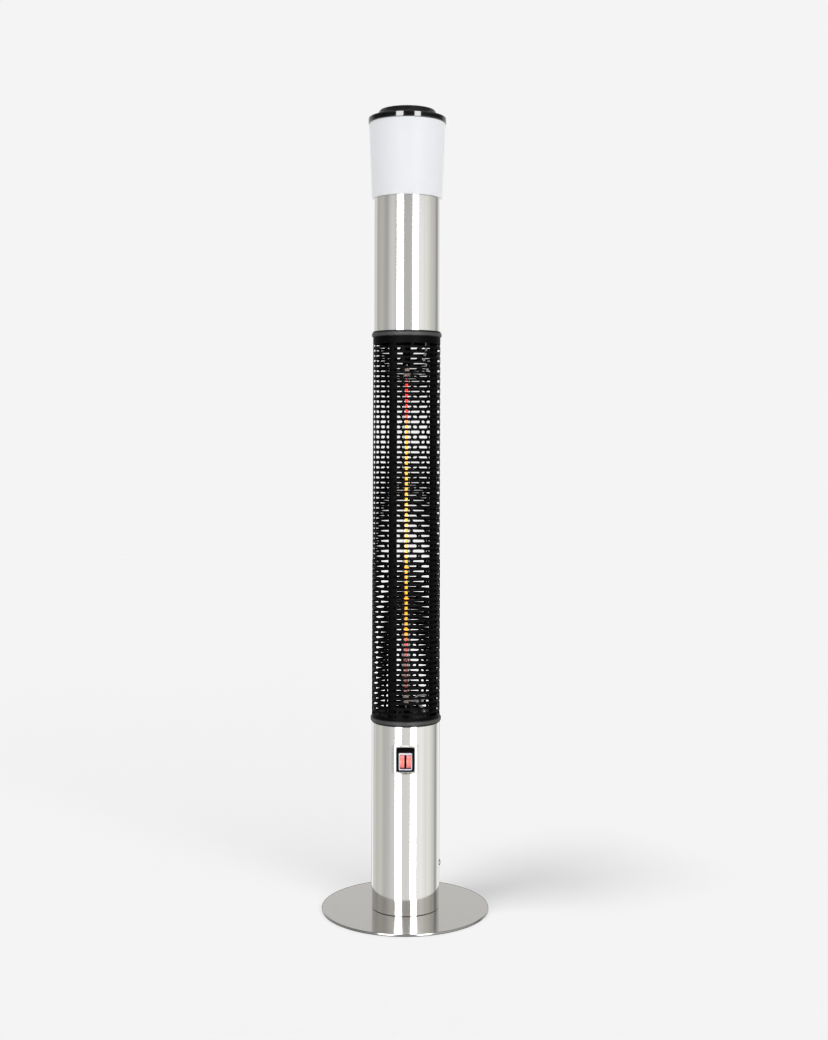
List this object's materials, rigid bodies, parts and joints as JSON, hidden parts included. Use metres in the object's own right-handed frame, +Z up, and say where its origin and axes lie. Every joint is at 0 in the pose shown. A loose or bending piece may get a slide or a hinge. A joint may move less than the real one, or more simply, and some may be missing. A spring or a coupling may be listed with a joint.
{
  "type": "electric column patio heater",
  "caption": "Free-standing electric column heater with a quartz lamp behind a slotted round guard, a rocker switch, a frosted lamp shade on top and a flat round base.",
  "frame": {"origin": "centre of the bottom of the box round the heater, on the floor under the middle of the round base", "axes": "+Z up along the column, -Y towards the front with the switch, +X to the right seen from the front"},
  "size_m": [0.25, 0.25, 1.204],
  "materials": {
    "brushed_steel": "vertically brushed stainless steel, satin",
    "zinc_steel": "zinc-plated steel",
    "black_steel": "heat-resistant satin black coating",
    "grey_ring": "satin grey coating",
    "rubber": "matt black rubber",
    "black_plastic": "black moulded plastic, fine grain",
    "clear_silicone": "clear milky silicone",
    "red_rocker": "translucent red plastic, lit from inside",
    "brass": "plain turned brass",
    "white_plastic": "off-white moulded plastic",
    "quartz": "clear quartz glass",
    "filament": "glowing heating coil",
    "lamp_ceramic": "pale pink matt ceramic",
    "fibre_sleeve": "white braided glass-fibre sleeve",
    "silicone_wire": "silicone-insulated wire",
    "board_aluminium": "white-coated aluminium circuit board",
    "frosted_shade": "frosted opal plastic, satin outside",
    "gloss_black": "gloss black moulding"
  },
  "bodies": {
    "heater": {"base_plate": "brushed_steel", "lower_tube": "brushed_steel", "upper_tube": "brushed_steel", "base_socket": "zinc_steel", "base_screw_1": "zinc_steel", "base_screw_2": "zinc_steel", "base_screw_3": "zinc_steel", "side_screw": "zinc_steel", "rear_screw": "zinc_steel", "collar_screw_lower": "zinc_steel", "collar_screw_upper": "zinc_steel", "wiring_bracket": "zinc_steel", "post_nut_lower_1": "zinc_steel", "post_nut_lower_2": "zinc_steel", "post_nut_lower_3": "zinc_steel", "post_nut_upper_1": "zinc_steel", "post_nut_upper_2": "zinc_steel", "post_nut_upper_3": "zinc_steel", "shade_seat": "zinc_steel", "tie_rod": "zinc_steel", "tie_rod_nut": "zinc_steel", "guard_cage": "black_steel", "support_post_1": "black_steel", "support_post_2": "black_steel", "support_post_3": "black_steel", "lower_bulkhead": "black_steel", "upper_bulkhead": "black_steel", "lamp_holder_lower": "black_steel", "lamp_holder_upper": "black_steel", "lower_ring": "grey_ring", "upper_ring": "grey_ring", "base_pad_1": "rubber", "base_pad_2": "rubber", "base_pad_3": "rubber", "base_pad_4": "rubber", "base_pad_5": "rubber", "base_pad_6": "rubber", "cable_gland": "black_plastic", "switch_frame": "black_plastic", "switch_housing": "black_plastic", "tip_over_switch": "black_plastic", "switch_seal": "clear_silicone", "rocker_pin": "brass", "terminal_block": "white_plastic", "led_driver": "white_plastic", "quartz_tube": "quartz", "heating_element": "filament", "lamp_end_lower": "lamp_ceramic", "lamp_end_upper": "lamp_ceramic", "lead_wire_lower": "fibre_sleeve", "lead_wire_upper": "fibre_sleeve", "switch_wire": "silicone_wire", "return_wire": "silicone_wire", "light_wire": "silicone_wire", "led_board": "board_aluminium", "lamp_shade": "frosted_shade", "top_cap": "gloss_black"},
    "left_rocker": {"rocker_left": "red_rocker"},
    "right_rocker": {"rocker_right": "red_rocker"}
  },
  "joints": [
    {"name": "left_rocker_tilt", "type": "hinge", "parent": "heater", "child": "left_rocker", "pos_m": [-0.00485, -0.0462, 0.2327], "axis": [1, 0, 0], "range_deg": [0, 16]},
    {"name": "right_rocker_tilt", "type": "hinge", "parent": "heater", "child": "right_rocker", "pos_m": [0.00485, -0.0462, 0.2327], "axis": [1, 0, 0], "range_deg": [0, 16]}
  ]
}
